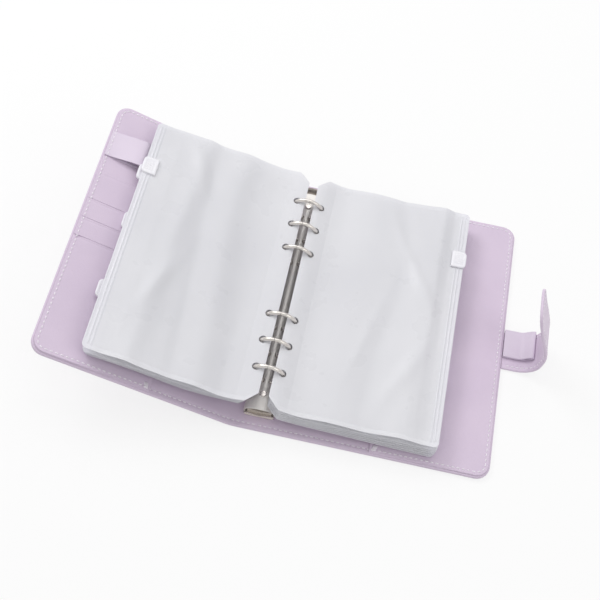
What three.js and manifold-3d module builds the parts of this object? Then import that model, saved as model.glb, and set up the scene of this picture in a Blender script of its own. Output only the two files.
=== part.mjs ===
// Six-ring cash envelope wallet, lying open: a soft cover in three panels, a
// ring mechanism on the spine, and frosted zip envelopes threaded on the rings.
// Millimetres. X runs across the open cover, Y along the spine, Z up. The origin
// is the middle of the spine's underside.

import * as THREE from 'three';
import { mergeVertices } from 'three/addons/utils/BufferGeometryUtils.js';
import Module from 'manifold-3d';

const wasm = await Module();
wasm.setup();

// Cover
const coverHeight = 190;
const panelWidth = 131;
const foldSpacing = 32.5;
const cornerRadius = 9;
const skinThickness = 0.9;
const boardThickness = 1.1;
const liningThickness = 0.7;
const glueGap = 0.15;
const boardMargin = 6;
const foldClearance = 0.3;
const frontRaised = 21.6;

// Things sewn inside the cover
const sewnGap = 0.15;
const pocketThickness = 0.7;
const pocketWidth = 76;
const pocketMargin = 1.2;
const cardStripThickness = 0.5;
const cardSlotEdges = [37.8, 16, 1.5, -12.5];
const cardSlotGap = 0.6;
const cardStripWidth = 70;
const bandY = 61;
const bandWidth = 20;
const bandThickness = 0.8;
const bandLength = 66;

// Closure strap and pen loop on the back cover's outer edge
const strapSouth = -16;
const strapWidth = 27;
const strapTipRadius = 9;
const strapLayer = 0.8;
const strapLayerGap = 0.2;
const strapMagnetRoom = 1.4;
const strapFlat = 9;
const strapBend = 13.5;
const strapUpright = 10.5;
const strapLean = [[165.2, 40], [161.2, 50], [153.8, 70.5]];
const loopSouth = -8;
const loopWidth = 20;
const loopThickness = 0.9;
const loopGap = 0.35;
const loopTipAngle = 56;
const loopSplitAngle = 15;
const magnetRadius = 6;
const magnetThickness = 1;
const magnetFromTip = 16;
const coverMagnetInset = 30;
const magnetClearance = 0.2;

// Ring mechanism
const ringRadius = 10.5;
const wireRadius = 1.3;
const ringCentreZ = 19;
const ringPlaces = [63.5, 44.5, 25.5, -25.5, -44.5, -63.5];
const ringTipGap = 0.3;
const ringFootX = 2.4;
const ringStudRadius = 1.1;
const shellHalfLength = 84;
const shellHalfWidth = 5.5;
const shellHeight = 6;
const shellSheet = 0.8;
const bellHalfWidth = 10.2;
const bellHeight = 6.4;
const bellLength = 16;
const bellMouthLength = 5;
const slotClearance = 0.5;
const slotInner = 0.8;
const slotOuter = 4.4;
const railThickness = 1;
const railInner = 0.25;
const railOuter = 3.9;
const railLift = 1.3;
const railEndInset = 2.2;
const rivetInset = 1.5;
const rivetHeadRadius = 4.5;
const rivetHeadThickness = 0.8;
const rivetShank = 1.5;
const rivetTopRadius = 2.3;
const rivetTopThickness = 0.6;
const rivetClearance = 0.3;
const leverSheet = 1;
const leverLipReach = 2.6;
const leverHalfWidth = 9.7;
const leverWebRecess = 0.6;
const leverFootWidth = 3;
const leverFootReach = 1.4;
const leverFootThickness = 0.45;
const leverClearance = 0.3;
const leverSideRoom = 0.6;
const leverRoofRoom = 0.5;
const leverNarrowing = 0.97;
const leverLipSheet = 0.8;

// Envelopes
const envelopeHeight = 175;
const envelopeWidth = 104.6;
const envelopeChamfer = 10;
const envelopeCorner = 3;
const filmThickness = 0.5;
const holeDiameter = 6;
const holeFromEdge = 5;
const holeSlack = 0.15;
const zipWidth = 3.2;
const zipThickness = 0.8;
const zipFromEdge = 4.4;
const sliderLength = 15;
const sliderWidth = 10.4;
const sliderThickness = 1.9;
const sliderWall = 0.4;
const sliderBridge = 1;
const sliderBridgeGap = 0.3;
const stackPitch = 2.2;
const seatReach = 9;
const ringSeatLow = -7;
const ringSeatHigh = -0.9;
const rightCount = 6;
const leftCount = 4;
const rightStackDepth = 13.3;
const leftStackDepth = 12.4;
const rightStackDroop = 0.6;
const leftStackRaised = 18.45;
const rightSliderPlaces = [-30, 12, -52, 30, -8, 49];
const leftSliderPlaces = [10, -43, 46, 50.5];

const coverThickness = skinThickness + boardThickness + liningThickness + 2 * glueGap;
const halfSpine = foldSpacing / 2;
const foldZ = coverThickness / 2;
const bellFrom = shellHalfLength - bellLength;
const bellTo = shellHalfLength - bellMouthLength;
const railHalfLength = shellHalfLength - railEndInset;

// Each rivet sits midway between the last ring and the lever at the shell's end.
const rivetY = (ringPlaces[0] + shellHalfLength - rivetInset) / 2;

const boardFloor = skinThickness + glueGap;
const liningFloor = coverThickness - liningThickness;

const material = (name, color, roughness, metalness = 0) => {
  const made = new THREE.MeshStandardMaterial({ color, roughness, metalness });
  made.name = name;
  return made;
};
const lilac = material('lilac_leather', 0xd3c4da, 0.55);
const lilacInside = material('lilac_lining', 0xd6c8dc, 0.6);
const cardboard = material('board', 0xb9ab94, 0.9);
const frosted = material('frosted_film', 0xdfe0e4, 0.35);
const white = material('white_plastic', 0xf0eef4, 0.4);
const nickel = material('nickel', 0xc9bdb2, 0.2, 1);
const magnetSteel = material('magnet', 0x8f9094, 0.35, 1);

const rad = THREE.MathUtils.degToRad;

// Solids

function toSolid(geometry) {
  const bare = geometry.clone();
  bare.deleteAttribute('normal');
  bare.deleteAttribute('uv');
  const merged = mergeVertices(bare, 1e-5);
  const vertProperties = new Float32Array(merged.attributes.position.array);
  const triVerts = new Uint32Array(merged.index.array);
  return new wasm.Manifold(new wasm.Mesh({ numProp: 3, vertProperties, triVerts }));
}

function toGeometry(solid) {
  const mesh = solid.getMesh();
  const geometry = new THREE.BufferGeometry();
  geometry.setAttribute('position', new THREE.BufferAttribute(new Float32Array(mesh.vertProperties), 3));
  geometry.setIndex(new THREE.BufferAttribute(new Uint32Array(mesh.triVerts), 1));
  geometry.computeVertexNormals();
  return geometry;
}

function named(name, solid, finish) {
  const mesh = new THREE.Mesh(toGeometry(solid), finish);
  mesh.name = name;
  return mesh;
}

function box(x0, x1, y0, y1, z0, z1) {
  const geometry = new THREE.BoxGeometry(x1 - x0, y1 - y0, z1 - z0);
  geometry.translate((x0 + x1) / 2, (y0 + y1) / 2, (z0 + z1) / 2);
  return toSolid(geometry);
}

function post(radius, x, y, z0, z1, sides = 24) {
  const geometry = new THREE.CylinderGeometry(radius, radius, z1 - z0, sides);
  geometry.rotateX(Math.PI / 2);
  geometry.translate(x, y, (z0 + z1) / 2);
  return toSolid(geometry);
}

// A flat outline in X and Y, raised from z0 to z1.
function plate(shape, z0, z1, curveSegments = 8) {
  const geometry = new THREE.ExtrudeGeometry(shape, { depth: z1 - z0, bevelEnabled: false, curveSegments });
  geometry.translate(0, 0, z0);
  return toSolid(geometry);
}

// An outline in X and Z, carried along Y from y0 to y1.
function bar(shape, y0, y1, curveSegments = 8) {
  const geometry = new THREE.ExtrudeGeometry(shape, { depth: y1 - y0, bevelEnabled: false, curveSegments });
  geometry.rotateX(Math.PI / 2);
  geometry.translate(0, y1, 0);
  return toSolid(geometry);
}

// Closed rings of equal length, joined one to the next and capped at both ends; flat is the cap's outline.
function loftSolid(rings, flat) {
  const count = rings[0].length;
  const positions = rings.flat().flat();
  const index = [];
  for (let r = 0; r + 1 < rings.length; r += 1) {
    for (let i = 0; i < count; i += 1) {
      const a = r * count + i;
      const b = r * count + (i + 1) % count;
      index.push(a, b, b + count, a, b + count, a + count);
    }
  }
  const last = (rings.length - 1) * count;
  const caps = THREE.ShapeUtils.triangulateShape(flat.map(([u, v]) => new THREE.Vector2(u, v)), []);
  for (const [a, b, c] of caps) {
    index.push(a, c, b, last + a, last + b, last + c);
  }
  const geometry = new THREE.BufferGeometry();
  geometry.setAttribute('position', new THREE.BufferAttribute(new Float32Array(positions), 3));
  geometry.setIndex(index);
  return toSolid(geometry);
}

// Outlines

// A rectangle in X and Y, rounded at the corners on its outer side only.
function panelOutline(x0, x1, y0, y1, radius) {
  const shape = new THREE.Shape();
  shape.moveTo(x0, y0);
  shape.lineTo(x1 - radius, y0);
  shape.absarc(x1 - radius, y0 + radius, radius, -Math.PI / 2, 0, false);
  shape.lineTo(x1, y1 - radius);
  shape.absarc(x1 - radius, y1 - radius, radius, 0, Math.PI / 2, false);
  shape.lineTo(x0, y1);
  shape.closePath();
  return shape;
}

// Cover panels, each in its own frame: X away from the fold, Z from the fold's axis.

const half = coverHeight / 2;

function panelBlank() {
  const profile = new THREE.Shape();
  profile.moveTo(0, -foldZ);
  profile.lineTo(panelWidth, -foldZ);
  profile.lineTo(panelWidth, foldZ);
  profile.lineTo(0, foldZ);
  profile.absarc(0, 0, foldZ, Math.PI / 2, 3 * Math.PI / 2, false);
  const outline = panelOutline(-foldZ - 1, panelWidth, -half, half, cornerRadius);
  return bar(profile, -half, half, 12).intersect(plate(outline, -foldZ - 1, foldZ + 1, 10));
}

function panelLayers() {
  const blank = panelBlank();
  const low = (z) => z - foldZ;
  const wide = panelWidth + 10;
  const below = box(-10, wide, -half - 10, half + 10, low(-1), low(liningFloor - glueGap));
  const above = box(-10, wide, -half - 10, half + 10, low(liningFloor), low(coverThickness + 1));
  const boardFrom = boardMargin / 2;
  const boardTo = panelWidth - boardMargin;
  const boardHalf = half - boardMargin;
  const boardRadius = Math.max(cornerRadius - boardMargin, 0.5);
  const roomOutline = panelOutline(
    boardFrom - glueGap, boardTo + glueGap, -boardHalf - glueGap, boardHalf + glueGap, boardRadius);
  const room = plate(roomOutline, low(skinThickness), low(coverThickness), 6);
  const boardOutline = panelOutline(boardFrom, boardTo, -boardHalf, boardHalf, boardRadius);
  return {
    skin: blank.intersect(below).subtract(room),
    board: plate(boardOutline, low(boardFloor), low(boardFloor + boardThickness), 6),
    lining: blank.intersect(above),
  };
}

const mirrored = (solid) => solid.mirror([1, 0, 0]);

const coverTop = foldZ;
const pocketFloor = coverTop + sewnGap;
const pocketTop = pocketFloor + pocketThickness;

function pocketPanel() {
  const x1 = panelWidth - pocketMargin;
  const y1 = half - pocketMargin;
  const outline = panelOutline(panelWidth - pocketWidth, x1, -y1, y1, cornerRadius - pocketMargin);
  return plate(outline, pocketFloor, pocketTop, 10);
}

// Card slots shingle down the pocket panel; each strip stops at the next one's open edge.
function cardStrip(index) {
  const yTop = cardSlotEdges[index];
  const isLast = index === cardSlotEdges.length - 1;
  const yLow = isLast ? -half + pocketMargin + cornerRadius : cardSlotEdges[index + 1] + cardSlotGap;
  const x1 = panelWidth - pocketMargin - sewnGap;
  const floor = pocketTop + sewnGap;
  return box(x1 - cardStripWidth, x1, yLow, yTop, floor, floor + cardStripThickness);
}

// The retaining band is sewn at the outer edge and lies flat under the envelopes.
function band() {
  const floor = pocketTop + sewnGap;
  const x1 = panelWidth - pocketMargin - sewnGap;
  return box(x1 - bandLength, x1, bandY - bandWidth / 2, bandY + bandWidth / 2, floor, floor + bandThickness);
}

// Spine panel

const spineEdge = halfSpine - foldZ - foldClearance;

function spineLayers() {
  const inner = spineEdge - boardMargin / 2;
  const boardHalf = half - boardMargin;
  const places = [rivetY, -rivetY];
  const shankRoom = rivetShank + rivetClearance;
  let skin = box(-spineEdge, spineEdge, -half, half, 0, liningFloor - glueGap);
  skin = skin.subtract(box(
    -inner - glueGap, inner + glueGap, -boardHalf - glueGap, boardHalf + glueGap, skinThickness, coverThickness));
  let board = box(-inner, inner, -boardHalf, boardHalf, boardFloor, boardFloor + boardThickness);
  let lining = box(-spineEdge, spineEdge, -half, half, liningFloor, coverThickness);
  for (const y of places) {
    skin = skin.subtract(post(rivetHeadRadius + rivetClearance, 0, y, -1, coverThickness, 32));
    board = board.subtract(post(shankRoom, 0, y, -1, coverThickness + 1));
    lining = lining.subtract(post(shankRoom, 0, y, -1, coverThickness + 1));
  }
  return { skin, board, lining };
}

function rivet(y) {
  const roof = THREE.MathUtils.lerp(shellHeight, bellHeight, bellShare(Math.abs(y) + rivetTopRadius));
  const top = coverThickness + roof + rivetClearance / 3;
  const profile = [
    [0, 0], [rivetHeadRadius, 0], [rivetHeadRadius, rivetHeadThickness], [rivetShank, rivetHeadThickness],
    [rivetShank, top], [rivetTopRadius, top], [rivetTopRadius * 0.8, top + rivetTopThickness],
    [0, top + rivetTopThickness],
  ].map(([r, z]) => new THREE.Vector2(r, z));
  const geometry = new THREE.LatheGeometry(profile, 24);
  geometry.rotateX(Math.PI / 2);
  geometry.translate(0, y, 0);
  return toSolid(geometry);
}

// Ring mechanism

const smooth = (t) => t * t * (3 - 2 * t);
const bellShare = (y) => smooth(THREE.MathUtils.clamp((Math.abs(y) - bellFrom) / (bellTo - bellFrom), 0, 1));

// Half outline of the arch, from its right foot over the top to its left foot.
function archPoints(y, inset, segments = 16) {
  const share = bellShare(y);
  const a = THREE.MathUtils.lerp(shellHalfWidth, bellHalfWidth, share) - inset;
  const b = THREE.MathUtils.lerp(shellHeight, bellHeight, share) - inset;
  const power = THREE.MathUtils.lerp(2, 2.6, share);
  const points = [];
  for (let i = 0; i <= segments; i += 1) {
    const angle = Math.PI * i / segments;
    const c = Math.cos(angle);
    const s = Math.sin(angle);
    const x = a * Math.sign(c) * Math.abs(c) ** (2 / power);
    const z = b * Math.max(s, 0) ** (2 / power);
    points.push([x, coverThickness + z]);
  }
  return points;
}

function ringShell() {
  const places = [-shellHalfLength, -bellTo];
  const flare = 6;
  for (let i = 1; i < flare; i += 1) {
    places.push(-bellTo + (bellTo - bellFrom) * i / flare);
  }
  places.push(-bellFrom, bellFrom);
  for (let i = 1; i < flare; i += 1) {
    places.push(bellFrom + (bellTo - bellFrom) * i / flare);
  }
  places.push(bellTo, shellHalfLength);
  const section = (y) => [...archPoints(y, 0), ...archPoints(y, shellSheet).reverse()];
  const rings = places.map((y) => section(y).map(([x, z]) => [x, y, z]));
  let shell = loftSolid(rings.reverse(), section(shellHalfLength));
  const halfSlot = wireRadius + slotClearance;
  for (const y of ringPlaces) {
    for (const side of [-1, 1]) {
      const x0 = Math.min(side * slotInner, side * slotOuter);
      const x1 = Math.max(side * slotInner, side * slotOuter);
      shell = shell.subtract(box(x0, x1, y - halfSlot, y + halfSlot, coverThickness + shellHeight / 2, ringCentreZ));
    }
  }
  for (const y of [rivetY, -rivetY]) {
    shell = shell.subtract(post(rivetShank + rivetClearance, 0, y, coverThickness, ringCentreZ));
  }
  return shell;
}

const railFloor = coverThickness + railLift;
const railTop = railFloor + railThickness;

function rail(side) {
  const x0 = Math.min(side * railInner, side * railOuter);
  const x1 = Math.max(side * railInner, side * railOuter);
  const notch = rivetShank + 2 * rivetClearance;
  let solid = box(x0, x1, -railHalfLength, railHalfLength, railFloor, railTop);
  for (const y of [rivetY, -rivetY]) {
    solid = solid.subtract(box(-notch, notch, y - notch, y + notch, railFloor - 1, railTop + 1));
  }
  return solid;
}

// Half of one ring: a bent wire from the tip over the side to a stud on its rail.
class RingArc extends THREE.Curve {
  constructor(side, y) {
    super();
    this.side = side;
    this.y = y;
    this.start = Math.asin(ringTipGap / 2 / ringRadius);
    this.end = Math.PI - Math.asin(ringFootX / ringRadius);
  }

  getPoint(t, target = new THREE.Vector3()) {
    const angle = THREE.MathUtils.lerp(this.start, this.end, t);
    const x = this.side * ringRadius * Math.sin(angle);
    return target.set(x, this.y, ringCentreZ + ringRadius * Math.cos(angle));
  }
}

function halfRing(side, y) {
  const section = new THREE.Shape();
  section.absarc(0, 0, wireRadius, 0, 2 * Math.PI, false);
  const wire = new THREE.ExtrudeGeometry(section, {
    steps: 16, curveSegments: 5, bevelEnabled: false, extrudePath: new RingArc(side, y),
  });
  const foot = ringCentreZ - Math.sqrt(ringRadius ** 2 - ringFootX ** 2);
  const stud = post(ringStudRadius, side * ringFootX, y, railTop + sewnGap / 3, foot, 12);
  return toSolid(wire).add(stud);
}

// End lever: a web that fills the bell's mouth, a lip to press, and a foot under the rails.
function lever(end) {
  const mouth = shellHalfLength;
  const inset = shellSheet + leverSideRoom;
  const webBack = mouth - leverWebRecess - leverSheet;
  const outline = archPoints(end * mouth, inset, 12).map(([x, z]) => {
    const lowered = Math.max(z - leverRoofRoom, coverThickness + leverClearance);
    return new THREE.Vector2(x * leverNarrowing, lowered);
  });
  const web = bar(new THREE.Shape(outline), webBack, webBack + leverSheet);
  const floor = coverThickness + leverClearance;
  const lip = box(
    -leverHalfWidth + inset, leverHalfWidth - inset, webBack, mouth + leverClearance, floor,
    floor + leverLipSheet);
  const lipEnd = mouth + leverLipReach;
  const lipOutline = new THREE.Shape();
  lipOutline.moveTo(-leverHalfWidth, mouth + leverClearance);
  lipOutline.lineTo(leverHalfWidth, mouth + leverClearance);
  lipOutline.lineTo(leverHalfWidth, lipEnd - 1);
  lipOutline.quadraticCurveTo(leverHalfWidth - 0.4, lipEnd, leverHalfWidth - 2, lipEnd);
  lipOutline.lineTo(-leverHalfWidth + 2, lipEnd);
  lipOutline.quadraticCurveTo(-leverHalfWidth + 0.4, lipEnd, -leverHalfWidth, lipEnd - 1);
  lipOutline.closePath();
  const outerLip = plate(lipOutline, floor, floor + leverLipSheet, 4);
  const footEnd = railHalfLength - leverFootReach / 2;
  const foot = box(
    -leverFootWidth / 2, leverFootWidth / 2, footEnd, webBack + leverSheet / 2, floor,
    floor + leverFootThickness);
  const solid = web.add(lip).add(outerLip).add(foot);
  return end > 0 ? solid : solid.mirror([0, 1, 0]);
}

// Strap and loop, drawn in the back panel's own frame

function ribbon(points, thickness, offset, y0, y1, tipRadius) {
  const curve = new THREE.CatmullRomCurve3(points.map(([x, z]) => new THREE.Vector3(x, 0, z)), false, 'centripetal');
  const length = curve.getLength();
  const stations = [];
  const body = 22;
  for (let i = 0; i <= body; i += 1) {
    stations.push((length - tipRadius) / length * i / body);
  }
  const tipSteps = 5;
  for (let i = 1; i <= tipSteps; i += 1) {
    const angle = Math.PI / 2 * i / tipSteps;
    stations.push(1 - tipRadius * (1 - Math.sin(angle)) / length);
  }
  const rings = stations.map((t) => {
    const centre = curve.getPointAt(t);
    const tangent = curve.getTangentAt(t);
    const along = t * length - (length - tipRadius);
    const cut = along > 0 ? tipRadius - Math.sqrt(Math.max(tipRadius ** 2 - along ** 2, 0)) : 0;
    const nx = tangent.z;
    const nz = -tangent.x;
    const corner = (n, y) => [centre.x + nx * n, y, centre.z + nz * n];
    const low = offset;
    const high = offset + thickness;
    return [corner(low, y0 + cut), corner(high, y0 + cut), corner(high, y1 - cut), corner(low, y1 - cut)];
  });
  return loftSolid(rings, [[0, 0], [1, 0], [1, 1], [0, 1]]);
}

const edgeX = panelWidth + foldClearance;

// The strap's middle line, from the cover's edge to its tip; its outer side faces down and away.
const strapHalf = strapLayer + strapLayerGap / 2;
const strapLine = (() => {
  const z0 = -foldZ + strapHalf + 0.1;
  const bendX = edgeX + strapFlat;
  const points = [[edgeX, z0], [edgeX + strapFlat / 2, z0]];
  const steps = 5;
  for (let i = 0; i <= steps; i += 1) {
    const angle = Math.PI / 2 * i / steps;
    points.push([bendX + strapBend * Math.sin(angle), z0 + strapBend * (1 - Math.cos(angle))]);
  }
  points.push([bendX + strapBend, z0 + strapBend + strapUpright]);
  for (const [x, z] of strapLean) {
    points.push([x - halfSpine, z - foldZ]);
  }
  return points;
})();

const strapNorth = strapSouth + strapWidth;
const strapMiddle = (strapSouth + strapNorth) / 2;

function magnetFrame() {
  const curve = new THREE.CatmullRomCurve3(
    strapLine.map(([x, z]) => new THREE.Vector3(x, 0, z)), false, 'centripetal');
  const t = 1 - magnetFromTip / curve.getLength();
  return { centre: curve.getPointAt(t), tangent: curve.getTangentAt(t) };
}

function disc(radius, thickness) {
  const { centre, tangent } = magnetFrame();
  const geometry = new THREE.CylinderGeometry(radius, radius, thickness, 20);
  const normal = new THREE.Vector3(tangent.z, 0, -tangent.x);
  const turn = new THREE.Quaternion().setFromUnitVectors(new THREE.Vector3(0, 1, 0), normal);
  geometry.applyQuaternion(turn);
  geometry.translate(centre.x, strapMiddle, centre.z);
  return toSolid(geometry);
}

function strapSolids() {
  const pocket = disc(magnetRadius + magnetClearance, strapMagnetRoom);
  const outer = ribbon(strapLine, strapLayer, strapLayerGap / 2, strapSouth, strapNorth, strapTipRadius);
  const inner = ribbon(strapLine, strapLayer, -strapLayerGap / 2 - strapLayer, strapSouth, strapNorth, strapTipRadius);
  return {
    outer: outer.subtract(pocket),
    inner: inner.subtract(pocket),
    magnet: disc(magnetRadius, magnetThickness),
  };
}

// The loop lies on the strap and follows its bend; its two layers part towards the rounded end.
function penLoop() {
  const bendX = edgeX + strapFlat;
  const bendZ = -foldZ + strapHalf + 0.1 + strapBend;
  const radius = strapBend - strapHalf - loopGap;
  const floor = bendZ - radius;
  const inside = radius - loopThickness;
  const tip = rad(loopTipAngle);
  const split = rad(loopSplitAngle);
  const outline = new THREE.Shape();
  outline.moveTo(edgeX, floor);
  outline.lineTo(bendX, floor);
  outline.absarc(bendX, bendZ, radius, -Math.PI / 2, tip - Math.PI / 2, false);
  outline.bezierCurveTo(bendX + 11, floor + 6.6, bendX + 10.1, floor + 7.6, bendX + 8.9, floor + 7.15);
  outline.bezierCurveTo(bendX + 6.2, floor + 6.25, bendX + 4.2, floor + 2.45, bendX + 0.7, floor + 2.05);
  outline.lineTo(edgeX, floor + 2 * loopThickness + 0.1);
  outline.closePath();
  const opening = new THREE.Shape();
  const splitX = bendX + inside * Math.sin(split);
  const splitZ = bendZ - inside * Math.cos(split);
  opening.moveTo(splitX, splitZ);
  opening.absarc(bendX, bendZ, inside, split - Math.PI / 2, tip - Math.PI / 2 - 0.03, false);
  opening.lineTo(bendX + 9.05, floor + 6.3);
  opening.bezierCurveTo(bendX + 6.9, floor + 5.65, bendX + 4.9, floor + 2.45, splitX, splitZ);
  opening.closePath();
  const outer = bar(outline, loopSouth, loopSouth + loopWidth, 8);
  const inner = bar(opening, loopSouth - 1, loopSouth + loopWidth + 1, 8);
  return outer.subtract(inner);
}

// Envelopes, each in a frame whose origin is the rings' centre and whose X runs out along the leaf.

function leafPlace(index, count, stackDepth) {
  const seatStep = (ringSeatHigh - ringSeatLow) / (count - 1);
  const seat = ringSeatLow + seatStep * index;
  const outer = -stackDepth + stackPitch * (index + 0.5);
  const tilt = Math.atan2(outer - seat, envelopeWidth - zipFromEdge - holeFromEdge);
  const offset = (seat - seatReach * Math.tan(tilt)) * Math.cos(tilt);
  const crossing = Math.sqrt(ringRadius ** 2 - offset ** 2);
  const slant = Math.abs(offset) / crossing;
  const footprint = wireRadius * ringRadius / crossing + filmThickness / 2 * slant;
  const holeX = crossing + holeDiameter / 2 - holeSlack - footprint;
  return { tilt, offset, holeX, edgeX: holeX - holeFromEdge };
}

function pouch(place) {
  const x0 = place.edgeX;
  const x1 = x0 + envelopeWidth;
  const y1 = envelopeHeight / 2;
  const c = envelopeChamfer;
  const r = envelopeCorner;
  const shape = new THREE.Shape();
  shape.moveTo(x0, -y1 + c);
  shape.lineTo(x0 + c, -y1);
  shape.lineTo(x1 - r, -y1);
  shape.absarc(x1 - r, -y1 + r, r, -Math.PI / 2, 0, false);
  shape.lineTo(x1, y1 - r);
  shape.absarc(x1 - r, y1 - r, r, 0, Math.PI / 2, false);
  shape.lineTo(x0 + c, y1);
  shape.lineTo(x0, y1 - c);
  shape.closePath();
  for (const y of ringPlaces) {
    const hole = new THREE.Path();
    hole.absarc(place.holeX, y, holeDiameter / 2, 0, 2 * Math.PI, true);
    shape.holes.push(hole);
  }
  const middle = place.offset;
  const film = plate(shape, middle - filmThickness / 2, middle + filmThickness / 2, 5);
  const zipX = x1 - zipFromEdge;
  const zip = box(
    zipX - zipWidth / 2, zipX + zipWidth / 2, -y1 + r, y1 - r, middle - zipThickness / 2, middle + zipThickness / 2);
  return film.add(zip);
}

function slider(place, y) {
  const x1 = place.edgeX + envelopeWidth + sliderBridgeGap;
  const x0 = x1 + sliderBridge - sliderWidth;
  const y0 = y - sliderLength / 2;
  const corner = 3;
  const outline = panelOutline(-x1 - sliderBridge, -x0, y0, y0 + sliderLength, corner);
  const body = mirrored(plate(outline, place.offset - sliderThickness / 2, place.offset + sliderThickness / 2, 4));
  const room = sliderThickness / 2 - sliderWall;
  const channel = box(x0 - 1, x1, y0 - 1, y0 + sliderLength + 1, place.offset - room, place.offset + room);
  return body.subtract(channel);
}

// Assembly

const wallet = new THREE.Group();

const layers = panelLayers();
const frontCover = new THREE.Group();
frontCover.position.set(-halfSpine, 0, foldZ);
frontCover.rotation.y = rad(frontRaised);
const frontMagnetX = panelWidth - coverMagnetInset;
const magnetRoom = post(
  magnetRadius + magnetClearance, frontMagnetX, strapMiddle, -foldZ + boardFloor - 1, foldZ, 24);
const frontMagnet = post(
  magnetRadius, frontMagnetX, strapMiddle, -foldZ + boardFloor, -foldZ + boardFloor + magnetThickness, 24);
frontCover.add(
  named('front_skin', mirrored(layers.skin), lilac),
  named('front_board', mirrored(layers.board.subtract(magnetRoom)), cardboard),
  named('front_lining', mirrored(layers.lining), lilacInside),
  named('front_slip_pocket', mirrored(pocketPanel()), lilacInside),
  named('front_band', mirrored(band()), lilacInside),
  named('closure_magnet_cover', mirrored(frontMagnet), magnetSteel),
);
cardSlotEdges.forEach((edge, index) => {
  frontCover.add(named(`card_slot_${index + 1}`, mirrored(cardStrip(index)), lilacInside));
});

const backCover = new THREE.Group();
backCover.position.set(halfSpine, 0, foldZ);
const strap = strapSolids();
backCover.add(
  named('back_skin', layers.skin, lilac),
  named('back_board', layers.board, cardboard),
  named('back_lining', layers.lining, lilacInside),
  named('back_slip_pocket', pocketPanel(), lilacInside),
  named('closure_strap_outer', strap.outer, lilac),
  named('closure_strap_lining', strap.inner, lilacInside),
  named('closure_magnet_strap', strap.magnet, magnetSteel),
  named('pen_loop', penLoop(), lilac),
);

const spine = spineLayers();
wallet.add(
  frontCover,
  backCover,
  named('spine_skin', spine.skin, lilac),
  named('spine_board', spine.board, cardboard),
  named('spine_lining', spine.lining, lilacInside),
  named('ring_shell', ringShell(), nickel),
  named('rivet_top', rivet(rivetY), nickel),
  named('rivet_bottom', rivet(-rivetY), nickel),
  named('rail_left', rail(-1), nickel),
  named('rail_right', rail(1), nickel),
  named('lever_top', lever(1), nickel),
  named('lever_bottom', lever(-1), nickel),
);
ringPlaces.forEach((y, index) => {
  wallet.add(
    named(`ring_${index + 1}_left`, halfRing(-1, y), nickel),
    named(`ring_${index + 1}_right`, halfRing(1, y), nickel),
  );
});

// side is 1 for the stack on the back cover and -1 for the one on the front cover.
function addStack(label, side, count, depth, turn, sliderPlaces) {
  const stack = new THREE.Group();
  stack.position.set(0, 0, ringCentreZ);
  stack.rotation.y = rad(turn);
  for (let index = 0; index < count; index += 1) {
    const place = leafPlace(index, count, depth);
    const leaf = new THREE.Group();
    leaf.rotation.y = -side * place.tilt;
    const film = pouch(place);
    const tab = slider(place, sliderPlaces[index]);
    leaf.add(
      named(`envelope_${label}_${index + 1}`, side > 0 ? film : mirrored(film), frosted),
      named(`slider_${label}_${index + 1}`, side > 0 ? tab : mirrored(tab), white),
    );
    stack.add(leaf);
  }
  wallet.add(stack);
}

addStack('right', 1, rightCount, rightStackDepth, rightStackDroop, rightSliderPlaces);
addStack('left', -1, leftCount, leftStackDepth, leftStackRaised, leftSliderPlaces);

export default wallet;
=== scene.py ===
import math

import bmesh
import bpy
from mathutils import Matrix, Vector, noise


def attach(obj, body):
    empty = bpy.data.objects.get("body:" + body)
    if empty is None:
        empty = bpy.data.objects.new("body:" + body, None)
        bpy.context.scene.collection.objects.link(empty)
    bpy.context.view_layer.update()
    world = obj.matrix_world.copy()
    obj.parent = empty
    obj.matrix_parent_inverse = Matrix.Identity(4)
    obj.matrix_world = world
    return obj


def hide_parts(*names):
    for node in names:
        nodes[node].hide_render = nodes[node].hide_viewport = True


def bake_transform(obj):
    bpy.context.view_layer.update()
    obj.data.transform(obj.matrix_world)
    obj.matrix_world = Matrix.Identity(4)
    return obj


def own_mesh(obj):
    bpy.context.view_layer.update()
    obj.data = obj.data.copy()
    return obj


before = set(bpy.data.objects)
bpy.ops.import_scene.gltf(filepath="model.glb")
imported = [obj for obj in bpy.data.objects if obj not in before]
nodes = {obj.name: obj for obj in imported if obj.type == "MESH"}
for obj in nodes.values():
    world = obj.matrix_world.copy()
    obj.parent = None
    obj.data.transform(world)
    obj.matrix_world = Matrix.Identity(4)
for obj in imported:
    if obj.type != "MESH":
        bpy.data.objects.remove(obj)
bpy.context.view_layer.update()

# Sizes in millimetres, as in the solids: u or x runs out from the fold, y up the spine, z up
MM = 0.001

# Cover: half a panel's height, the fold's place, and the layers from the skin to the lining
COVER_HALF = 95.0
FOLD_X = 16.25
FOLD_Z = 1.5
PANEL = 131.0
OUTER = FOLD_X + PANEL
CORNER = 9.0
FRONT_RAISED = math.radians(21.6)
FOLD_SOFTNESS = 4.0
FOLD_ZONE = 5.0
EDGE_ZONE = 12.0
CREASE = {"deep": 0.12, "wide": 2.2}
SKIN_TOP = 2.15
LINING_LOW = 2.3
COVER_TOP = 3.0
RIVET_Y = 73.0
RIVET_ROOM = {"radius": 4.8, "depth": 3.0, "z": -0.55}
STITCH_INSET = 3.4
STITCH_STEP = 3.3
GROOVE_WIDTH = 0.6
SKIN_GROOVE = 0.3
LINING_GROOVE = 0.34

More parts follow.
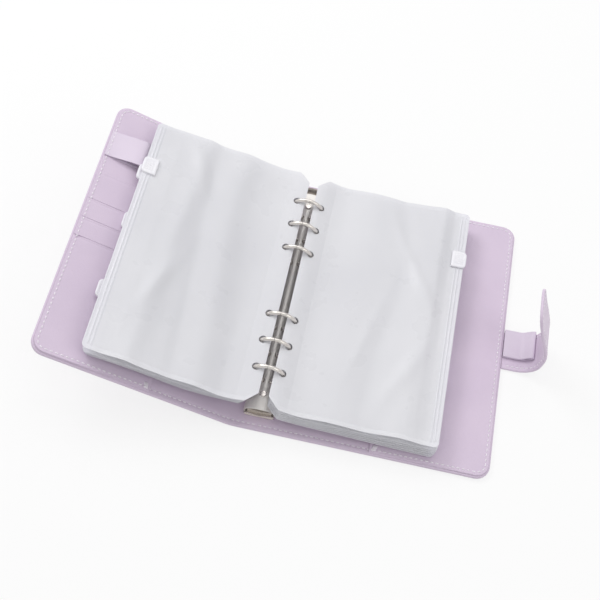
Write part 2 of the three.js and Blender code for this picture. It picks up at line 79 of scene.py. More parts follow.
# Sewn pieces: slip pockets, card strips, and the band with the swell of its loose layer
POCKET_WIDTH = 76.0
POCKET_HALF = 93.8
POCKET_INSET = 1.2
TACK_Y = 90.5
POCKET_LOW = 3.15
POCKET_TOP = 3.85
STRIP_LOW = 4.0
STRIP_TOP = 4.36
STRIP_WIDTH = 70.0
STRIP_INSET = 1.35
STRIP_FOOT = -93.5
CARD_SLOTS = (37.8, 16.0, 1.5, -12.5)
BAND_Y = (51.0, 71.0)
BAND_LENGTH = 66.0
BAND_FREE = 33.0
BAND_LIFT = 3.9
BAND_SWELL = {"from": 0.5, "crest": 24.0, "to": 31.0}
BAND_THICK = (0.35, 0.48)
BAND_GAP = 0.07

# Closure strap: its sides, its course from the cover up, and the magnet in its tip
STRAP_Y = (-16.0, 11.0)
STRAP_START = OUTER + 0.3
STRAP_Z = 1.0
STRAP_FLAT = 9.0
STRAP_BEND = 13.5
STRAP_RISE = ((165.2, 40), (161.2, 50), (153.8, 70.5))
STRAP_TIP = 9.0
STRAP_HALF_THICK = 0.9
STRAP_STITCH = 2.5
MAGNET_BACK = 16.0
MAGNET_RADIUS = 6.6
MAGNET_RISE = 0.3

# Ring mechanism: wire, studs, the flared case with its slots, and the pressing tabs
RING_Z = 19.0
RING_RADIUS = 10.5
WIRE = 1.3
RING_PLACES = (63.5, 44.5, 25.5, -25.5, -44.5, -63.5)
TIP_GAP = 0.15
TIP_CHAMFER = 0.12
STUD_X = 2.4
STUD_RADIUS = 1.1
STUD_BLEND = 0.8
STUD_FOOT = (7.0, 5.4)
SHELL_HALF = 84.0
SHELL_WALL = 0.8
PLAIN_HALF = 66.0
BELL_FROM = 68.0
BELL_TO = 79.0
ARCH_HALF = (5.5, 10.2)
ARCH_HEIGHT = (6.0, 6.4)
END_ROLL = 0.22
SLOT = {"x": 2.6, "z": 10.2, "wide": 2.5, "tall": 8.0}
TAB_FROM = 83.2
TAB_REACH = 5.2
TAB_RISE = 6.4
TAB_HALF = 9.4
TAB_SEAT = 3.5
TAB_THICK = 0.8
TAB_EDGE = 0.25

# Envelopes: a sheet's size, its seat on the rings, its margin, its zip, and how a stack fans out
ENVELOPE_WIDTH = 104.6
ENVELOPE_HALF = 87.5
FILM = 0.5
MARGIN_HALF_THICK = 0.2
POCKET_SWELL = 0.28
PUNCH_ROOM = 0.25
SEAT_FROM = -7.0
SEAT_SPAN = 6.1
SEAT_AT = 9.0
LEAF_STEP = 2.2
HOLE_INSET = 5.0
HOLE_RADIUS = 3.0
HOLE_ROOM = 0.15
FREE_EDGE = 4.9
MARGIN = 12.8
BORDER = 2.9
ZIP_ZONE = 6.4
ZIP_RIBS = ((3.0, 0.34, 0.42), (5.2, 0.34, 0.42), (0.6, 0.14, 0.4))
CURL = 7.0
CURL_FADE = 0.8
FOLDS = 2.1
CHAMFER = 7.0
FILM_CORNER = 3.0
TOP_LEFT_SHIFT = 1.6
FAN = 0.55
SLIP = {"right": -0.35, "left": 0.3}

# Zip sliders: a clip's size, its finger ridges, its channel, and their places along the zips
SLIDER_HALF = 6.4
SLIDER_LONG = 10.0
SLIDER_CORNER = 3.0
SLIDER_THICK = 0.95
SLIDER_OVER = {"top": 1.3, "left": 4.2, "right": 0.3}
RIDGE_STEP = 1.6
RIDGE_DEEP = 0.28
RIDGE_HALF = 4.0
CHANNEL = (11.0, 17.0, 1.1)
SLIDERS = {
    "right": (-30, 12, -52, 30, -8, 49),
    "left": (10, -43, 46, 50.5),
}

# The two stacks: how many envelopes, how far down the lowest one lies, and how the stack is turned
STACKS = {
    "right": {"side": 1, "count": 6, "depth": 13.3, "turn": math.radians(0.6)},
    "left": {"side": -1, "count": 4, "depth": 12.4, "turn": math.radians(18.45)},
}


# Materials

def shader(name):
    made = bpy.data.materials.new(name)
    made.use_nodes = True
    tree = made.node_tree
    return made, tree, tree.nodes["Principled BSDF"]


def coordinates(tree):
    return tree.nodes.new("ShaderNodeTexCoord").outputs["Object"]


def noise_map(tree, where, scale, detail=3.0, roughness=0.5):
    node = tree.nodes.new("ShaderNodeTexNoise")
    node.inputs["Scale"].default_value = scale
    node.inputs["Detail"].default_value = detail
    node.inputs["Roughness"].default_value = roughness
    tree.links.new(where, node.inputs["Vector"])
    return node.outputs["Fac"]


def ramp(tree, value, low, high, at=(0.3, 0.7)):
    node = tree.nodes.new("ShaderNodeValToRGB")
    node.color_ramp.elements[0].position = at[0]
    node.color_ramp.elements[0].color = low
    node.color_ramp.elements[1].position = at[1]
    node.color_ramp.elements[1].color = high
    tree.links.new(value, node.inputs["Fac"])
    return node.outputs["Color"]


def grey(value):
    return (value, value, value, 1)


def srgb(r, g, b):
    def linear(c):
        c /= 255
        return c / 12.92 if c <= 0.04045 else ((c + 0.055) / 1.055) ** 2.4
    return (linear(r), linear(g), linear(b), 1)


def bump(tree, height, distance, strength, base=None):
    node = tree.nodes.new("ShaderNodeBump")
    node.inputs["Distance"].default_value = distance
    node.inputs["Strength"].default_value = strength
    tree.links.new(height, node.inputs["Height"])
    if base is not None:
        tree.links.new(base, node.inputs["Normal"])
    return node.outputs["Normal"]


def leather(name, light, dark, roughness):
    made, tree, bsdf = shader(name)
    where = coordinates(tree)
    broad = noise_map(tree, where, 28, 4)
    tree.links.new(ramp(tree, broad, dark, light), bsdf.inputs["Base Color"])
    cells = tree.nodes.new("ShaderNodeTexVoronoi")
    cells.feature = "SMOOTH_F1"
    cells.inputs["Scale"].default_value = 1300
    cells.inputs["Smoothness"].default_value = 0.6
    tree.links.new(where, cells.inputs["Vector"])
    fine = bump(tree, cells.outputs["Distance"], 0.00012, 0.35)
    soft = bump(tree, noise_map(tree, where, 160, 3), 0.0004, 0.2, fine)
    tree.links.new(soft, bsdf.inputs["Normal"])
    rough = ramp(tree, noise_map(tree, where, 420, 2), grey(roughness - 0.06), grey(roughness + 0.06))
    tree.links.new(rough, bsdf.inputs["Roughness"])
    bsdf.inputs["Specular IOR Level"].default_value = 0.35
    bsdf.inputs["Sheen Weight"].default_value = 0.15
    bsdf.inputs["Sheen Roughness"].default_value = 0.5
    return made


def thread_material():
    made, tree, bsdf = shader("thread")
    where = coordinates(tree)
    twist = tree.nodes.new("ShaderNodeTexWave")
    twist.inputs["Scale"].default_value = 900
    twist.bands_direction = "DIAGONAL"
    tree.links.new(where, twist.inputs["Vector"])
    # The twist's low grooves are painted darker by the same wave that drives the bump: painted shade in the
    # grooves
    shade = ramp(tree, twist.outputs["Fac"], srgb(238, 229, 241), srgb(251, 247, 252))
    tree.links.new(shade, bsdf.inputs["Base Color"])
    tree.links.new(bump(tree, twist.outputs["Fac"], 0.0001, 0.5), bsdf.inputs["Normal"])
    bsdf.inputs["Roughness"].default_value = 0.7
    return made


FILM_SHARE = 0.22
FILM_THROUGH = grey(1.0)


# Frosted film: a share of the light goes through it
def film_material(name, light, dark, alpha, roughness):
    made, tree, bsdf = shader(name)
    where = coordinates(tree)
    cloud = noise_map(tree, where, 16, 2)
    tree.links.new(ramp(tree, cloud, dark, light), bsdf.inputs["Base Color"])
    rough = ramp(tree, noise_map(tree, where, 60, 3), grey(roughness - 0.05), grey(roughness + 0.08))
    tree.links.new(rough, bsdf.inputs["Roughness"])
    frost = bump(tree, noise_map(tree, where, 2600, 2), 0.00003, 0.3)
    soft = bump(tree, noise_map(tree, where, 45, 2), 0.0006, 0.15, frost)
    tree.links.new(soft, bsdf.inputs["Normal"])
    bsdf.inputs["Alpha"].default_value = alpha
    bsdf.inputs["IOR"].default_value = 1.5
    bsdf.inputs["Specular IOR Level"].default_value = 0.5
    through = tree.nodes.new("ShaderNodeBsdfTranslucent")
    through.inputs["Color"].default_value = FILM_THROUGH
    tree.links.new(soft, through.inputs["Normal"])
    mix = tree.nodes.new("ShaderNodeMixShader")
    mix.inputs["Fac"].default_value = FILM_SHARE
    tree.links.new(bsdf.outputs[0], mix.inputs[1])
    tree.links.new(through.outputs[0], mix.inputs[2])
    tree.links.new(mix.outputs[0], tree.nodes["Material Output"].inputs["Surface"])
    return made


def metal_material(name, light, dark, roughness, metallic=0.8):
    made, tree, bsdf = shader(name)
    where = coordinates(tree)
    tree.links.new(ramp(tree, noise_map(tree, where, 90, 3), dark, light), bsdf.inputs["Base Color"])
    rough = ramp(tree, noise_map(tree, where, 300, 2), grey(roughness), grey(roughness + 0.04))
    tree.links.new(rough, bsdf.inputs["Roughness"])
    tree.links.new(bump(tree, noise_map(tree, where, 400, 1), 0.00001, 0.05), bsdf.inputs["Normal"])
    bsdf.inputs["Metallic"].default_value = metallic
    return made


def plastic_material(name, light, dark, roughness):
    made, tree, bsdf = shader(name)
    where = coordinates(tree)
    tree.links.new(ramp(tree, noise_map(tree, where, 120, 2), dark, light), bsdf.inputs["Base Color"])
    tree.links.new(bump(tree, noise_map(tree, where, 1500, 2), 0.00003, 0.2), bsdf.inputs["Normal"])
    bsdf.inputs["Roughness"].default_value = roughness
    bsdf.inputs["Subsurface Weight"].default_value = 0.15
    bsdf.inputs["Subsurface Radius"].default_value = (0.002, 0.002, 0.002)
    return made


LILAC = leather("lilac_leather", srgb(222, 206, 225), srgb(216, 200, 220), 0.5)
LILAC_IN = leather("lilac_lining", srgb(221, 205, 224), srgb(215, 199, 219), 0.52)
# The band and the pen loop get a lighter copy of the lining leather; on the band this lightness is painted
# light, the lit look of its raised swell
LILAC_LIGHTENED = leather("lilac_lightened", srgb(226, 214, 230), srgb(220, 207, 225), 0.48)
THREAD = thread_material()
POCKET_FILM = film_material("frosted_pocket", srgb(243, 243, 247), srgb(236, 236, 241), 0.94, 0.3)
MARGIN_FILM = film_material("frosted_margin", srgb(244, 244, 248), srgb(238, 238, 243), 0.91, 0.3)
ZIP_FILM = film_material("zip_rib", srgb(246, 246, 251), srgb(240, 240, 246), 0.86, 0.2)
# The case's nickel is a lighter, more diffuse copy of the rings' nickel: painted light against the shade the
# envelopes cast on the case; it is also rougher
BRIGHTENED_NICKEL = metal_material("nickel_painted_lighter", srgb(250, 247, 243), srgb(246, 242, 237), 0.42, 0.45)
NICKEL = metal_material("nickel", srgb(240, 235, 230), srgb(234, 228, 222), 0.22)
WHITE = plastic_material("white_plastic", srgb(244, 243, 248), srgb(238, 237, 243), 0.32)
BOARD = plastic_material("grey_board", srgb(176, 168, 152), srgb(160, 152, 136), 0.9)
MAGNET = metal_material("magnet", srgb(150, 151, 155), srgb(134, 135, 140), 0.35)


# Mesh making

def make(name, points, faces, material, sharp=40):
    mesh = bpy.data.meshes.new(name)
    mesh.from_pydata([(x * MM, y * MM, z * MM) for x, y, z in points], [], faces)
    work = bmesh.new()
    work.from_mesh(mesh)
    bmesh.ops.remove_doubles(work, verts=work.verts, dist=2e-6)
    bmesh.ops.recalc_face_normals(work, faces=work.faces)
    work.to_mesh(mesh)
    work.free()
    obj = bpy.data.objects.new(name, mesh)
    bpy.context.scene.collection.objects.link(obj)
    mesh.materials.append(material)
    soften(mesh, sharp)
    return obj


def soften(mesh, sharp=40):
    mesh.shade_smooth()
    mesh.set_sharp_from_angle(angle=math.radians(sharp))


def apply_modifiers(obj):
    graph = bpy.context.evaluated_depsgraph_get()
    mesh = bpy.data.meshes.new_from_object(obj.evaluated_get(graph))
    obj.modifiers.clear()
    obj.data = mesh
    return obj


def cut(obj, cutter):
    trim = obj.modifiers.new("cut", "BOOLEAN")
    trim.operation = "DIFFERENCE"
    trim.solver = "EXACT"
    trim.object = cutter
    bpy.context.view_layer.update()
    apply_modifiers(obj)
    bpy.data.objects.remove(cutter)
    soften(obj.data)
    return obj


def solid_from(name, work):
    mesh = bpy.data.meshes.new(name)
    work.to_mesh(mesh)
    work.free()
    obj = bpy.data.objects.new(name, mesh)
    bpy.context.scene.collection.objects.link(obj)
    return obj


def add_box(work, size, middle, turn=None):
    made = bmesh.ops.create_cube(work, size=1.0)["verts"]
    bmesh.ops.scale(work, vec=Vector(size) * MM, verts=made)
    if turn is not None:
        bmesh.ops.rotate(work, cent=(0, 0, 0), matrix=turn, verts=made)
    bmesh.ops.translate(work, vec=Vector(middle) * MM, verts=made)


# A closed slab over a grid: place(u, y, h) puts a point, low and high give its two faces.
def slab(name, columns, rows, low, high, place, material, sharp=40):
    points = []
    for face in (low, high):
        for u in columns:
            for y in rows(u):
                points.append(place(u, y, face(u, y)))
    across = len(rows(columns[0]))
    size = len(columns) * across
    faces = []
    for i in range(len(columns) - 1):
        for j in range(across - 1):
            a = i * across + j
            faces.append((a, a + 1, a + across + 1, a + across))
            b = a + size
            faces.append((b, b + across, b + across + 1, b + 1))
    rim = list(range(across))
    rim += [i * across + across - 1 for i in range(1, len(columns))]
    rim += [(len(columns) - 1) * across + j for j in range(across - 2, -1, -1)]
    rim += [i * across for i in range(len(columns) - 2, 0, -1)]
    for k, a in enumerate(rim):
        b = rim[(k + 1) % len(rim)]
        faces.append((a, b, b + size, a + size))
    return make(name, points, faces, material, sharp)


def spread(start, end, count):
    return [start + (end - start) * i / (count - 1) for i in range(count)]


def merged(*lists):
    values = sorted(set(round(v, 4) for values in lists for v in values))
    kept = [values[0]]
    for value in values[1:]:
        if value - kept[-1] > 0.05:
            kept.append(value)
    kept[-1] = values[-1]
    return kept


EDGE_STEPS = (0, 0.12, 0.3, 0.55, 0.9, 1.4, 2.2, 2.8, 3.1, 3.4, 3.7, 4.0, 4.6, 6)


def corner_steps(outer, radius):
    return [outer - radius + radius * math.sin(math.pi / 2 * i / 10) for i in range(11)]


def outline_half(u, outer, half, radius):
    inside = u - (outer - radius)
    if inside <= 0:
        return half
    return half - radius + math.sqrt(max(radius * radius - inside * inside, 0))


# Distance inside a rectangle that is rounded on its outer side
def depth(u, y, outer, half, radius, inner=-1e9):
    du = outer - u
    dy = half - abs(y)
    if du < radius and dy < radius:
        near = radius - math.hypot(radius - du, radius - dy)
    else:
        near = min(du, dy)
    return max(min(near, u - inner), 0)


def rounded(distance, radius):
    if distance >= radius:
        return 0.0
    return radius - math.sqrt(max(radius * radius - (radius - distance) ** 2, 0))


def ridge(value, centre, width):
    return math.exp(-(((value - centre) / width) ** 2))


def groove(distance, at, width, deep):
    return deep * ridge(distance, at, width)


def held(value):
    return min(max(value, 0), 1)


def eased(t):
    return t * t * (3 - 2 * t)


# The cover's middle line bends softly at the fold
def bent(s, angle):
    begin = FOLD_X - FOLD_SOFTNESS
    if s <= begin or angle == 0:
        return s, 0.0, 0.0
    length = 2 * FOLD_SOFTNESS
    radius = length / angle
    turned = angle * min(s - begin, length) / length
    x = begin + radius * math.sin(turned)
    z = radius * (1 - math.cos(turned))
    rest = max(s - begin - length, 0)
    return x + rest * math.cos(turned), z + rest * math.sin(turned), turned


def placer(side, angle):
    def place(s, y, h):
        x, z, turned = bent(s, angle)
        lift = h - FOLD_Z
        return side * (x - lift * math.sin(turned)), y, FOLD_Z + z + lift * math.cos(turned)
    return place


PLACE = {"front": placer(-1, FRONT_RAISED), "back": placer(1, 0.0)}
FOLDED = {
    "front": ("spine", "front_cover", (-FOLD_X + 4, 0, FOLD_Z), (-FOLD_X - 4, 0, FOLD_Z)),
    "back": ("spine", "back_cover", (FOLD_X - 4, 0, FOLD_Z), (FOLD_X + 4, 0, FOLD_Z)),
}


def bend_with(obj, label):
    first, second, start, end = FOLDED[label]
    tuple(c * MM for c in start)
    tuple(c * MM for c in end)
    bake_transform(obj)


def cover_rows(u, half=COVER_HALF, outer=OUTER, radius=CORNER):
    top = outline_half(u, outer, half, radius)
    offsets = [top - e for e in EDGE_STEPS]
    middle = spread(offsets[-1], -offsets[-1], 22)[1:-1]
    return offsets + middle + [-o for o in reversed(offsets)]


def cover_columns():
    folds = spread(FOLD_X - FOLD_ZONE, FOLD_X + FOLD_ZONE, 13)
    flat = spread(FOLD_X + FOLD_ZONE, OUTER - EDGE_ZONE, 22)
    return merged([0.0], folds, flat, corner_steps(OUTER, CORNER), [OUTER - e for e in EDGE_STEPS])


def cover_depth(u, y):
    return depth(u, y, OUTER, COVER_HALF, CORNER)


def skin_low(u, y):
    d = cover_depth(u, y)
    return rounded(d, 1.1) + groove(d, STITCH_INSET, GROOVE_WIDTH, SKIN_GROOVE)


def lining_high(u, y):
    d = cover_depth(u, y)
    crease = CREASE["deep"] * ridge(u, FOLD_X, CREASE["wide"])
    return COVER_TOP - 0.7 * rounded(d, 0.9) - groove(d, STITCH_INSET, GROOVE_WIDTH, LINING_GROOVE) - crease


def cover_parts(label):
    columns = cover_columns()
    place = PLACE[label]
    skin = slab("cover_" + label, columns, cover_rows, skin_low, lambda u, y: SKIN_TOP, place, LILAC)
    room = RIVET_ROOM
    for y in (RIVET_Y, -RIVET_Y):
        bpy.ops.mesh.primitive_cylinder_add(
            vertices=48, radius=room["radius"] * MM, depth=room["depth"] * MM,
            location=(0, y * MM, room["z"] * MM))
        cut(skin, bpy.context.object)
    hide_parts(label + "_skin", "spine_skin")
    lining = slab(
        "lining_" + label, columns, cover_rows, lambda u, y: LINING_LOW, lining_high, place, LILAC_IN)
    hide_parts(label + "_lining", "spine_lining")
    for piece in (skin, lining):
        bend_with(piece, label)


# Stitches: small humps of thread along a path given as (u, y) points, on the surface h(u, y)
def along(path, step, margin=0.0):
    lengths = [math.dist(a, b) for a, b in zip(path, path[1:])]
    total = sum(lengths)
    count = int((total - 2 * margin) / step)
    places = []
    for k in range(count):
        rest = margin + (total - 2 * margin - (count - 1) * step) / 2 + k * step
        for (a, b), length in zip(zip(path, path[1:]), lengths):
            if rest <= length or (a, b) == (path[-2], path[-1]):
                t = min(rest / length, 1)
                direction = ((b[0] - a[0]) / length, (b[1] - a[1]) / length)
                places.append(((a[0] + (b[0] - a[0]) * t, a[1] + (b[1] - a[1]) * t), direction))
                break
            rest -= length
    return places


def stitch_mesh(places, surface, place, up, points, faces, length=2.2, width=0.8, height=0.4):
    sides = 6
    for (u, y), (du, dy) in places:
        first = len(points)

        def add(forward, across, rise):
            pu = u + du * forward - dy * across
            py = y + dy * forward + du * across
            points.append(place(pu, py, surface(u, y) + up * rise))

        add(-length / 2, 0, -0.1)
        for forward in (-length * 0.36, 0, length * 0.36):
            swell = 1.0 if forward == 0 else 0.8
            for k in range(sides):
                turn = 2 * math.pi * k / sides
                add(forward, width / 2 * math.cos(turn), height * swell * math.sin(turn))
        add(length / 2, 0, -0.1)
        last = first + 1 + 3 * sides
        for k in range(sides):
            n = (k + 1) % sides
            faces.append((first, first + 1 + k, first + 1 + n))
            faces.append((last, last - sides + n, last - sides + k))
            for ring in range(2):
                a = first + 1 + ring * sides
                faces.append((a + k, a + sides + k, a + sides + n, a + n))


def rim_path(start, outer, half, radius, inset):
    r = radius - inset
    path = [(start, -half + inset)]
    for i in range(9):
        turn = -math.pi / 2 + math.pi / 2 * i / 8
        path.append((outer - radius + r * math.cos(turn), -half + radius + r * math.sin(turn)))
    for i in range(9):
        turn = math.pi / 2 * i / 8
        path.append((outer - radius + r * math.cos(turn), half - radius + r * math.sin(turn)))
    path.append((start, half - inset))
    return path


def cover_stitches(label):
    points, faces = [], []
    path = rim_path(0.0, OUTER, COVER_HALF, CORNER, STITCH_INSET)
    places = along(path, STITCH_STEP)
    stitch_mesh(places, lambda u, y: lining_high(u, y) + 0.16, PLACE[label], 1, points, faces)
    stitch_mesh(places, lambda u, y: 0.24, PLACE[label], -1, points, faces, height=0.2)
    thread = make("stitching_" + label, points, faces, THREAD, 80)
    bend_with(thread, label)


SEWN_STEPS = (0, 0.15, 0.4, 0.8, 1.5, 1.9, 2.3, 3)


# Pockets and strips sewn on the covers; each is a thin slab with a soft free edge
def sewn(name, label, node, inner, outer, y0, y1, low, top, material, radius=0.0, free="inner"):
    half = (y1 - y0) / 2
    centre = (y0 + y1) / 2

    def rows(u):
        edge = outline_half(u, outer, half, radius) if radius else half
        ends = [edge - e for e in SEWN_STEPS]
        middle = spread(ends[-1], -ends[-1], 14)[1:-1]
        return [centre + v for v in ends + middle + [-e for e in reversed(ends)]]

    steps = (*SEWN_STEPS, 3.6)
    columns = merged(
        [inner + e for e in steps], spread(inner + 4, outer - 10, 16), [outer - e for e in steps],
        corner_steps(outer, radius) if radius else [])

    def distance(u, y):
        if free == "inner":
            return u - inner
        if free == "top":
            return y1 - y
        return min(y1 - y, y - y0)

    def high(u, y):
        d = distance(u, y)
        edge = depth(u, y - centre, outer, half, radius, inner) if radius and free == "inner" else 9
        return top - 0.5 * rounded(min(d, edge), 0.6) - groove(d, 1.9, 0.35, 0.16)

    obj = slab(name, columns, rows, lambda u, y: low, high, PLACE[label], material)
    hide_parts(node)
    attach(obj, label + "_cover")
    return high


# Stitches near the edge go through whatever lies uppermost there
def stitch_surface(label, high):
    def surface(u, y):
        if label == "front" and BAND_Y[0] < y < BAND_Y[1]:
            return STRIP_LOW + 0.85
        if label == "front" and y < CARD_SLOTS[0]:
            return STRIP_TOP
        return high(u, y) + 0.05
    return surface


def sewn_parts():
    for label in ("front", "back"):
        inner = OUTER - POCKET_WIDTH
        outer = OUTER - POCKET_INSET
        corner = CORNER - POCKET_INSET
        high = sewn(label + "_pocket", label, label + "_slip_pocket", inner, outer, -POCKET_HALF, POCKET_HALF,
                    POCKET_LOW, POCKET_TOP, LILAC_IN, corner)
        points, faces = [], []
        path = rim_path(inner + 1, outer, POCKET_HALF, corner, STITCH_INSET - POCKET_INSET)
        stitch_mesh(
            along(path, STITCH_STEP), stitch_surface(label, high), PLACE[label], 1, points, faces)
        for y in (-TACK_Y, TACK_Y):
            tack = [((inner + 2.2 + 0.55 * k, y), (0.25, 0.97)) for k in range(5)]
            stitch_mesh(
                tack, lambda u, v: POCKET_TOP, PLACE[label], 1, points, faces, length=4.6, height=0.35)
        thread = make("pocket_stitching_" + label, points, faces, THREAD, 80)
        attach(thread, label + "_cover")
    outer = OUTER - STRIP_INSET
    for index, edge in enumerate(CARD_SLOTS):
        last = index == len(CARD_SLOTS) - 1
        y0 = STRIP_FOOT if last else CARD_SLOTS[index + 1] + 0.05
        corner = CORNER - STRIP_INSET if last else 0.0
        number = index + 1
        sewn("card_pocket_%d" % number, "front", "card_slot_%d" % number, outer - STRIP_WIDTH, outer,
             y0, edge, STRIP_LOW, STRIP_TOP, LILAC_IN, corner, free="top")


# The band: its upper layer lifts off the lower one where the envelopes leave it free
def band_rise(u):
    d = OUTER - 1.5 - u
    first, crest, last = BAND_SWELL["from"], BAND_SWELL["crest"], BAND_SWELL["to"]
    if d < crest:
        return BAND_LIFT * eased(held((d - first) / (crest - first)))
    return BAND_LIFT * (1 - eased(held((d - crest) / (last - crest))))


def band_parts():
    outer = OUTER - STRIP_INSET
    inner = outer - BAND_LENGTH
    middle = sum(BAND_Y) / 2
    half = (BAND_Y[1] - BAND_Y[0]) / 2
    lower_top = STRIP_LOW + BAND_THICK[0]
    upper_low = lower_top + BAND_GAP
    upper_top = upper_low + BAND_THICK[1]
    columns = merged(spread(inner, outer - BAND_FREE, 8), spread(outer - BAND_FREE, outer, 34))

    def rows(u):
        edge = half - 2
        flat = spread(middle - edge, middle + edge, 8)
        return merged(spread(middle - half, middle - edge, 6), flat, spread(middle + edge, middle + half, 6))

    def soft(y):
        return 0.25 * rounded(half - abs(y - middle), 0.5)

    def over_low(u, y):
        return upper_low + band_rise(u) + soft(y)

    def over_high(u, y):
        return upper_top + band_rise(u) * (1 + 0.12 * (middle - y) / half) - soft(y)

    # Both band layers use the lightened leather: painted light on the band's swell
    under = slab("band_lower", columns, rows, lambda u, y: STRIP_LOW, lambda u, y: lower_top - soft(y),
                 PLACE["front"], LILAC_LIGHTENED)
    over = slab("band_upper", columns, rows, over_low, over_high, PLACE["front"], LILAC_LIGHTENED)
    for piece in (under, over):
        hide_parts("front_band")
        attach(piece, "front_cover")
    anchor = Vector(PLACE["front"](outer, middle, STRIP_LOW)) * MM
    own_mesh(over)


# Strap and pen loop

# The strap's middle line: out flat, a quarter bend, then up and back over the cover
def strap_line():
    bend_x = STRAP_START + STRAP_FLAT
    points = [(STRAP_START, STRAP_Z), (STRAP_START + STRAP_FLAT / 2, STRAP_Z)]
    for i in range(6):
        turn = math.pi / 2 * i / 5
        rise = STRAP_BEND * (1 - math.cos(turn))
        points.append((bend_x + STRAP_BEND * math.sin(turn), STRAP_Z + rise))
    points.append((bend_x + STRAP_BEND, STRAP_Z + 24))
    return points + list(STRAP_RISE)


# A centripetal curve through the points, cut into even steps
def smooth_line(points, count):
    result = []
    for i in range(len(points) - 1):
        p0 = Vector(points[max(i - 1, 0)])
        p1 = Vector(points[i])
        p2 = Vector(points[i + 1])
        p3 = Vector(points[min(i + 2, len(points) - 1)])
        gaps = [max((b - a).length ** 0.5, 1e-6) for a, b in ((p0, p1), (p1, p2), (p2, p3))]
        m1 = p2 - p1
        m2 = p2 - p1
        if i > 0:
            m1 = gaps[1] * ((p1 - p0) / gaps[0] - (p2 - p0) / (gaps[0] + gaps[1]) + (p2 - p1) / gaps[1])
        if i < len(points) - 2:
            m2 = gaps[1] * ((p2 - p1) / gaps[1] - (p3 - p1) / (gaps[1] + gaps[2]) + (p3 - p2) / gaps[2])
        for k in range(20):
            t = k / 20
            a = 2 * t ** 3 - 3 * t * t + 1
            b = t ** 3 - 2 * t * t + t
            c = -2 * t ** 3 + 3 * t * t
            d = t ** 3 - t * t
            result.append(a * p1 + b * m1 + c * p2 + d * m2)
    result.append(Vector(points[-1]))
    lengths = [0.0]
    for a, b in zip(result, result[1:]):
        lengths.append(lengths[-1] + (b - a).length)
    even = []
    k = 0
    for i in range(count):
        want = lengths[-1] * i / (count - 1)
        while k < len(lengths) - 2 and lengths[k + 1] < want:
            k += 1
        t = (want - lengths[k]) / max(lengths[k + 1] - lengths[k], 1e-9)
        even.append(result[k].lerp(result[k + 1], min(t, 1)))
    return even, lengths[-1]


def strap_parts():
    line, length = smooth_line(strap_line(), 240)

    def place(s, y, h):
        f = min(max(s / length, 0), 1) * (len(line) - 1)
        k = min(int(f), len(line) - 2)
        centre = line[k].lerp(line[k + 1], f - k)
        k0, k1 = max(k - 3, 0), min(k + 4, len(line) - 1)
        tangent = (line[k1] - line[k0]).normalized()
        return centre.x - tangent.y * h, y, centre.y + tangent.x * h

    middle = sum(STRAP_Y) / 2
    half = (STRAP_Y[1] - STRAP_Y[0]) / 2
    tip = STRAP_TIP
    steps = (0, 0.12, 0.3, 0.6, 1.0, 1.6, 2.1, 2.5, 2.9, 3.6)

    def rows(s):
        edge = outline_half(s, length, half, tip)
        ends = [edge - e for e in steps]
        centre = spread(ends[-1], -ends[-1], 10)[1:-1]
        return [middle + v for v in ends + centre + [-e for e in reversed(ends)]]

    columns = merged(spread(0, length - tip, 60), corner_steps(length, tip), [length - e for e in steps])

    def face(s, y):
        d = depth(s, y - middle, length, half, tip)
        return STRAP_HALF_THICK - 0.7 * rounded(d, 0.8) - groove(d, STRAP_STITCH, 0.4, 0.16)

    def low(s, y):
        return -face(s, y)

    def high(s, y):
        away = math.hypot(s - (length - MAGNET_BACK), y - middle)
        return face(s, y) + MAGNET_RISE / (1 + math.exp((away - MAGNET_RADIUS) * 3))

    strap = slab("closure_strap", columns, rows, low, high, place, LILAC)
    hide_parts("closure_strap_outer", "closure_strap_lining")
    points, faces = [], []
    path = rim_path(1.5, length, half, tip, STRAP_STITCH)
    places = [((s, y + middle), direction) for (s, y), direction in along(path, STITCH_STEP)]
    sunk = STRAP_HALF_THICK - 0.05
    stitch_mesh(places, lambda s, y: sunk, place, 1, points, faces)
    stitch_mesh(places, lambda s, y: -sunk, place, -1, points, faces)
    thread = make("strap_stitching", points, faces, THREAD, 80)
    loop = refined("pen_loop", "pen_loop_band", 0.22, LILAC_LIGHTENED)
    for piece in (strap, thread, loop):
        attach(piece, "back_cover")


# A copy of a solid with rounded edges and a smooth finish, which stands for that solid
def refined(node, name, bevel, material, sharp=40):
    source = nodes[node]
    obj = bpy.data.objects.new(name, source.data.copy())
    bpy.context.scene.collection.objects.link(obj)
    work = bmesh.new()
    work.from_mesh(obj.data)
    bmesh.ops.remove_doubles(work, verts=work.verts, dist=1e-6)
    bmesh.ops.dissolve_limit(work, angle_limit=math.radians(1), verts=work.verts, edges=work.edges)
    work.to_mesh(obj.data)
    work.free()
    if bevel:
        rounding = obj.modifiers.new("round", "BEVEL")
        rounding.width = bevel * MM
        rounding.segments = 3
        rounding.limit_method = "ANGLE"
        rounding.angle_limit = math.radians(40)
        rounding.harden_normals = False
        bpy.context.view_layer.update()
        apply_modifiers(obj)
    obj.data.materials.clear()
    obj.data.materials.append(material)
    soften(obj.data, sharp)
    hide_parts(node)
    return obj


# Ring mechanism

